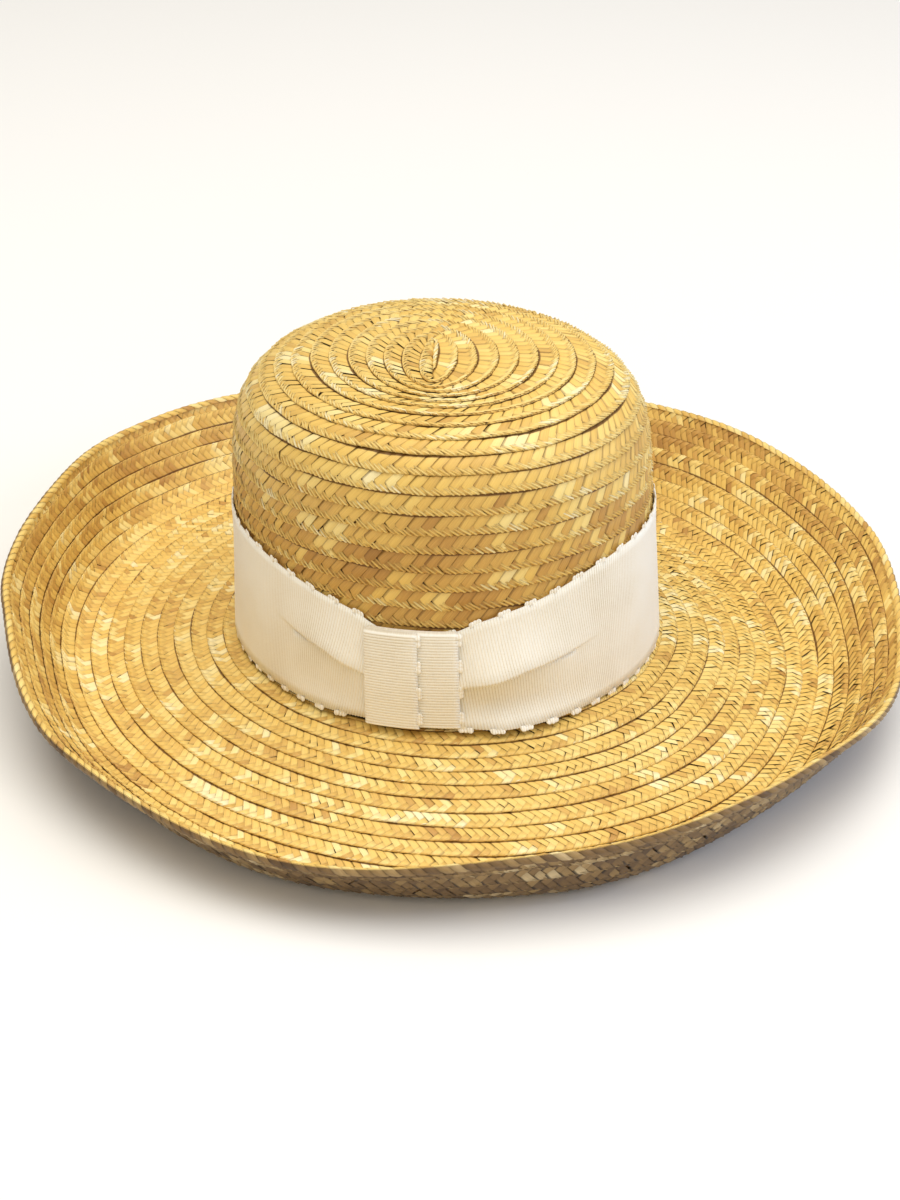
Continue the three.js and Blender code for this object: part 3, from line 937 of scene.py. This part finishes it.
@dataclass
class PicotRibbon:
    """Ivory ribbon with picot edges: a band tucked towards a folded length that wraps round its ends."""

    finish: bpy.types.Material
    knot_deg: float = 248.0
    rib_pitch: float = 1.1
    rib_height: float = 0.2
    rib_lean: float = 0.6
    flare: tuple[float, float] = (1.6, 6.0)
    bag: tuple[float, float] = (1.6, 4.2)
    over: tuple[float, float] = (5.0, 7.4)
    thick: float = 0.5
    picot_pitch: float = 10.8
    picot_lobe: float = 1.35
    knot_width: float = 34.4
    fold_width: float = 19.6
    knot_low: float = 2.2
    knot_high: float = 41.2
    knot_lift: float = 3.7
    band_lift: float = 0.85
    softness: float = 0.25
    tops: tuple[tuple[float, float], ...] = (
        (-180, 56), (-75, 56), (-54, 56), (-40, 53), (-27.5, 49), (-18, 45.5), (-11.5, 40.3), (0, 37.5),
        (11.5, 39.6), (17, 43), (27, 47), (39, 51), (51, 56), (62, 58), (90, 57), (180, 56))

    def top(self, away: Array) -> Array:
        """Height of the band's top edge at an angle from the knot."""
        knots = np.array(self.tops)
        near = [np.interp(away + shift, knots[:, 0], knots[:, 1]) for shift in (-3, -1.5, 0, 1.5, 3)]
        return np.mean(near, axis=0)

    def bottom(self, away: Array) -> Array:
        """Height of the band's bottom edge at an angle from the knot."""
        return 2.6 - 1.2 * smooth((away + 10) / 60)

    def tuck(self, away: Array) -> tuple[Array, Array]:
        """Height of the tuck at an angle from the knot, and how far it is folded there, from 0 to 1."""
        left = np.interp(-away, (0, 10.5, 23.5, 39.5, 60), (20.5, 21.8, 28.5, 31.5, 33))
        right = np.interp(away, (0, 11.5, 28, 48, 70), (19, 20.2, 25.2, 27.5, 29))
        folded = np.where(away < 0, smooth((44 + away) / 30), smooth((56 - away) / 42))
        return np.where(away < 0, left, right), folded

    def section(self, away: Array) -> tuple[Array, Array]:
        """Band's cross section at angles from the knot, from its bottom edge to its top edge.

        The lower part flares out at its edge and runs up behind the tuck. The upper part hangs over it.

        Args:
            away: Angles from the knot in degrees.

        Returns:
            Heights and lifts, with one row for each angle.
        """
        height, folded = (value[:, None] for value in self.tuck(away))
        low, high = self.bottom(away)[:, None], self.top(away)[:, None]
        right = smooth((away + 8) / 16)[:, None]
        flare = folded * (self.flare[0] + (self.flare[1] - self.flare[0]) * right)
        over = folded * (self.over[0] + (self.over[1] - self.over[0]) * right)
        up = np.linspace(0, 1, 8)[None, :]
        lower_z = low + (height - 1.0 + 2.8 * folded - low) * up
        bag = folded * (self.bag[0] + (self.bag[1] - self.bag[0]) * right)
        lower_lift = flare * np.maximum(1 - up / 0.45, 0) ** 2 + bag * (np.maximum(up - 0.35, 0) / 0.65) ** 1.3
        fold = np.array([(-0.8, 1.7, 0.12), (-0.5, 0.8, 0.3), (-0.2, -0.6, 0.5), (0.1, -1.4, 0.72),
                         (0.4, -1.2, 0.92), (0.8, -0.1, 1.0)])
        fold_z = height + fold[None, :, 0] + folded * (fold[None, :, 1] - fold[None, :, 0])
        rise = np.linspace(0, 1, 8)[None, 1:]
        upper_z = fold_z[:, -1:] + (high - fold_z[:, -1:]) * rise
        upper_lift = over * (1 - rise) ** 1.7
        fold_lift = bag + (over - bag) * fold[None, :, 2]
        held = 0.4 + 0.6 * smooth((np.abs(away) - 10) / 12)[:, None]
        return (np.concatenate([lower_z, fold_z, upper_z], 1),
                np.concatenate([lower_lift, fold_lift, upper_lift], 1) * held)

    def build(self) -> list[bpy.types.Object]:
        """Builds the band, the knot and their picots."""
        band, band_picots, flat_band = self.band()
        knot, knot_picots, flat_knot = self.knot()
        settle(band, "ribbon_band")
        settle(knot, "ribbon_knot")
        for piece in (band_picots, knot_picots):
            settle(piece)
        return [band, knot, band_picots, knot_picots]

    def band(self) -> tuple[bpy.types.Object, bpy.types.Object, tuple[float, float]]:
        """Band round the crown, its picots, and its flat size in metres."""
        turn = np.linspace(0, 2 * np.pi, 4001)
        line = FORM.wall_point(turn, np.full_like(turn, 20.0), np.full_like(turn, 0.8))
        length = np.concatenate([[0], np.cumsum(np.linalg.norm(np.diff(line, axis=0), axis=1))])
        columns = round(length[-1] / self.rib_pitch) * 3
        along = np.arange(columns) * length[-1] / columns
        angle = np.interp(along, length, turn)
        away = (np.degrees(angle) - self.knot_deg + 180) % 360 - 180
        z, lift = self.section(away)
        rows = z.shape[1]
        rib = np.array([1.0, -0.5, -0.5])[np.arange(columns) % 3][:, None]
        soft = wander(along, 24.0, 61)[:, None] * np.sin(np.linspace(0, np.pi, rows))[None, :]
        lift = lift + self.band_lift + rib * self.rib_height + self.softness * soft
        slope = (self.top(away + 8) - self.top(away - 8)) / (16 * length[-1] / 360) * self.rib_lean
        turned = angle[:, None] - slope[:, None] * (z - 20) / (length[-1] / (2 * np.pi))
        points = FORM.wall_point(turned, z, lift)
        index = np.arange(columns * rows).reshape(columns, rows)
        after = np.roll(index, -1, axis=0)
        quads = np.stack([index[:, :-1], after[:, :-1], after[:, 1:], index[:, 1:]], -1).reshape(-1, 4)
        weave = np.stack(np.broadcast_arrays(np.arange(columns)[:, None] / 3, z), -1).reshape(-1, 2)
        band = grid_object("ribbon_band_sheet", points.reshape(-1, 3) * MM, quads, self.finish,
                           ("weave", weave))
        self.thicken(band)
        width = np.median(np.linalg.norm(np.diff(points, axis=1), axis=2).sum(axis=1))
        spots = []
        for row, inward, size in ((0, 1, 1.0), (-1, -2, 0.85)):
            for spot in np.arange(self.picot_pitch / 2, length[-1], self.picot_pitch):
                column = int(spot / length[-1] * columns)
                if abs(away[column]) < 10.5:
                    continue
                for lobe in (-4, 0, 4):
                    i = (column + lobe) % columns
                    spots.append((points[i, row], points[i, row] - points[i, inward],
                                  points[(i + 3) % columns, row] - points[(i - 3) % columns, row], size))
        return band, self.picots("ribbon_band_picots", spots), (width * MM, length[-1] * MM)

    def knot(self) -> tuple[bpy.types.Object, bpy.types.Object, tuple[float, float]]:
        """Folded length over the band's ends, its picots, and its flat size in metres."""
        middle = math.radians(self.knot_deg)
        long = FORM.half_width + FORM.seam_half
        per_radian = math.hypot(FORM.half_width * math.sin(middle), long * math.cos(middle))
        under = np.linspace(self.knot_width, 1.0, 16)
        over = np.linspace(1.0, self.fold_width, 10)
        bend = np.array([(0.45, 0.15), (0.1, 0.5), (0.0, 0.8), (0.1, 1.1), (0.45, 1.4)])
        across = np.concatenate([under, bend[:, 0], over])
        layer = np.concatenate([np.zeros(16), bend[:, 1] * 1.3, 2.0 - 0.3 * np.linspace(0, 1, 10)])
        low, high = self.knot_low, self.knot_high
        steps = round((high - low) / self.rib_pitch) * 4
        z = np.linspace(low, high, steps)
        hook = np.concatenate([[-2.2, -1.4, -0.6], np.zeros(steps - 7), [-0.15, -0.5, -1.1, -1.9]])
        rib = np.array([1.0, 0.0, -1.0, 0.0])[np.arange(steps) % 4]
        angle = middle + (across - self.knot_width / 2) / per_radian
        face = self.knot_lift + 0.5 * np.sin(np.linspace(0, np.pi, steps))
        lift = face[:, None] + hook[:, None] + layer[None, :] + 0.5 * self.rib_height * rib[:, None]
        points = FORM.wall_point(angle[None, :], np.broadcast_to(z[:, None], lift.shape), lift)
        index = np.arange(lift.size).reshape(lift.shape)
        quads = np.stack([index[:-1, :-1], index[1:, :-1], index[1:, 1:], index[:-1, 1:]], -1).reshape(-1, 4)
        round_it = np.concatenate([[0], np.cumsum(np.hypot(np.diff(across), np.diff(layer)))])
        weave = np.broadcast_arrays(np.arange(steps)[:, None] / 4, round_it[None, :])
        knot = grid_object("ribbon_knot_fold", points.reshape(-1, 3) * MM, quads, self.finish,
                           ("weave", np.stack(weave, -1).reshape(-1, 2)))
        self.thicken(knot)
        spots = []
        for column, step in ((0, 1), (len(across) - 1, -1)):
            for spot in np.arange(5.0, high - low, self.picot_pitch * 0.97):
                for lobe in (-5, 0, 5):
                    i = int(np.clip(spot / (high - low) * steps + lobe, 3, steps - 4))
                    edge = points[i, column]
                    spots.append((edge, edge - points[i, column + step],
                                  points[i + 2, column] - points[i - 2, column], 0.9))
        picots = self.picots("ribbon_knot_picots", spots)
        return knot, picots, (round_it[-1] * MM, (high - low + 5.0) * MM)

    def thicken(self, sheet: bpy.types.Object) -> None:
        """Gives a sheet its thickness, evenly to both sides."""
        solid = sheet.modifiers.new("thickness", "SOLIDIFY")
        solid.thickness = self.thick * MM
        solid.offset = 0.0

    def picots(self, name: str, spots: Sequence[tuple[Array, Array, Array, float]]) -> bpy.types.Object:
        """Small thread loops that stand out of an edge.

        Args:
            name: The piece's name.
            spots: Point on the edge, direction out of the sheet, direction along the edge, and size.

        Returns:
            The picots as one object.
        """
        ring = np.linspace(0, 2 * np.pi, 10, endpoint=False)
        reach = np.array([-0.7, -0.2, 0.35, 0.75, 0.97])
        size = np.sqrt(1 - reach ** 2)
        points, quads, weave = [], [], []
        for number, (edge, out, along, grown) in enumerate(spots):
            out, along = out / np.linalg.norm(out), along / np.linalg.norm(along)
            face = np.cross(out, along)
            middle = edge + out * 0.3
            ball = (middle + self.picot_lobe * grown * (
                reach[:, None, None] * out + size[:, None, None] * (
                    np.cos(ring)[None, :, None] * along + 0.26 * np.sin(ring)[None, :, None] * face)))
            index = (number * reach.size * ring.size
                     + np.arange(reach.size * ring.size).reshape(reach.size, ring.size))
            after = np.roll(index, -1, axis=1)
            quads.append(np.stack([index[:-1], after[:-1], after[1:], index[1:]], -1).reshape(-1, 4))
            quads.append(index[-1][[0, 1, 2, 3, 0, 3, 4, 9, 9, 4, 5, 8, 8, 5, 6, 7]].reshape(-1, 4))
            points.append(ball.reshape(-1, 3))
            weave.append(ball.reshape(-1, 3)[:, :2])
        return grid_object(name, np.concatenate(points) * MM, np.concatenate(quads), self.finish,
                           ("weave", np.concatenate(weave)))


@dataclass
class Studio:
    """Pale floor, soft light and the camera at the photograph's angle. Sizes are in metres."""

    camera_at: tuple[float, float, float] = (-0.20726, -0.88737, 0.52621)
    azimuth_deg: float = -13.13
    elevation_deg: float = 29.05
    roll_deg: float = 1.49
    lens_mm: float = 76.26
    floor_half: float = 4.0
    floor_colour: str = "#f4f3f0"
    surround_colour: str = "#f6f4f0"
    surround_strength: float = 0.42

    def build(self) -> None:
        """Sets up the floor, the lights, the surroundings and the camera."""
        self.floor()
        self.light("overhead_softbox", (0.0, 0.0, 1.9), (0, 0, 0), 2.2, 37.5, "#fffaf2")
        self.light("front_fill", (-0.4, -1.8, 1.2), (0, 0, 0.06), 1.5, 8.5, "#ffeccb")
        self.light("right_window", (1.7, -0.6, 0.9), (0, 0, 0.06), 1.0, 12.0, "#bfd6ff")
        scene = bpy.context.scene
        world = bpy.data.worlds.new("studio_surround")
        world.use_nodes = True
        world.node_tree.nodes["Background"].inputs["Color"].default_value = linear(self.surround_colour)
        world.node_tree.nodes["Background"].inputs["Strength"].default_value = self.surround_strength
        scene.world = world
        scene.view_settings.view_transform = "Standard"
        self.camera()

    def floor(self) -> None:
        """Wide pale floor of matt paper."""
        size = self.floor_half
        mesh = bpy.data.meshes.new("floor")
        corners = [(-size, -size, 0), (size, -size, 0), (size, size, 0), (-size, size, 0)]
        mesh.from_pydata(corners, [], [(0, 1, 2, 3)])
        paper = bpy.data.materials.new("matt_paper_floor")
        paper.use_nodes = True
        shader = paper.node_tree.nodes["Principled BSDF"]
        shader.inputs["Base Color"].default_value = linear(self.floor_colour)
        shader.inputs["Roughness"].default_value = 0.9
        mesh.materials.append(paper)
        floor = bpy.data.objects.new("floor", mesh)
        bpy.context.scene.collection.objects.link(floor)

    def light(self, name: str, at: Sequence[float], aim: Sequence[float], size: float, power: float,
              colour: str) -> None:
        """Adds one square soft light.

        Args:
            name: The light's name.
            at: Where it stands.
            aim: The point that it faces.
            size: Length of its side.
            power: Power in watts.
            colour: sRGB hex colour.
        """
        lamp = bpy.data.lights.new(name, "AREA")
        lamp.size = size
        lamp.energy = power
        lamp.color = linear(colour)[:3]
        holder = bpy.data.objects.new(name, lamp)
        holder.location = at
        holder.rotation_euler = (Vector(aim) - Vector(at)).to_track_quat("-Z", "Y").to_euler()
        bpy.context.scene.collection.objects.link(holder)

    def camera(self) -> None:
        """Places the camera where the photograph's perspective was found to come from."""
        azimuth, elevation, roll = (
            math.radians(v) for v in (self.azimuth_deg, self.elevation_deg, self.roll_deg))
        back = Vector((math.sin(azimuth) * math.cos(elevation), -math.cos(azimuth) * math.cos(elevation),
                       math.sin(elevation)))
        right = Vector((math.cos(azimuth), math.sin(azimuth), 0.0))
        up = back.cross(right)
        turned_right = right * math.cos(roll) + up * math.sin(roll)
        turned_up = up * math.cos(roll) - right * math.sin(roll)
        lens = bpy.data.cameras.new("photo_camera")
        lens.lens = self.lens_mm
        camera = bpy.data.objects.new("photo_camera", lens)
        turn = Matrix((turned_right, turned_up, back)).transposed().to_4x4()
        camera.matrix_world = Matrix.Translation(Vector(self.camera_at)) @ turn
        bpy.context.scene.collection.objects.link(camera)
        bpy.context.scene.camera = camera


def main() -> None:
    """Builds the hat's pieces in order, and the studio."""
    logging.basicConfig(level=logging.INFO, format="%(name)s %(message)s")
    straw, painted_shade_finish = STRAW_TOP.material(), STRAW_PAINTED_SHADE.material()
    StrawCrown(straw, painted_shade_finish).build()
    StrawBrim(straw, painted_shade_finish).build()
    PicotRibbon(RIBBON_IVORY.material()).build()
    Studio().build()


if __name__ == "__main__":
    main()
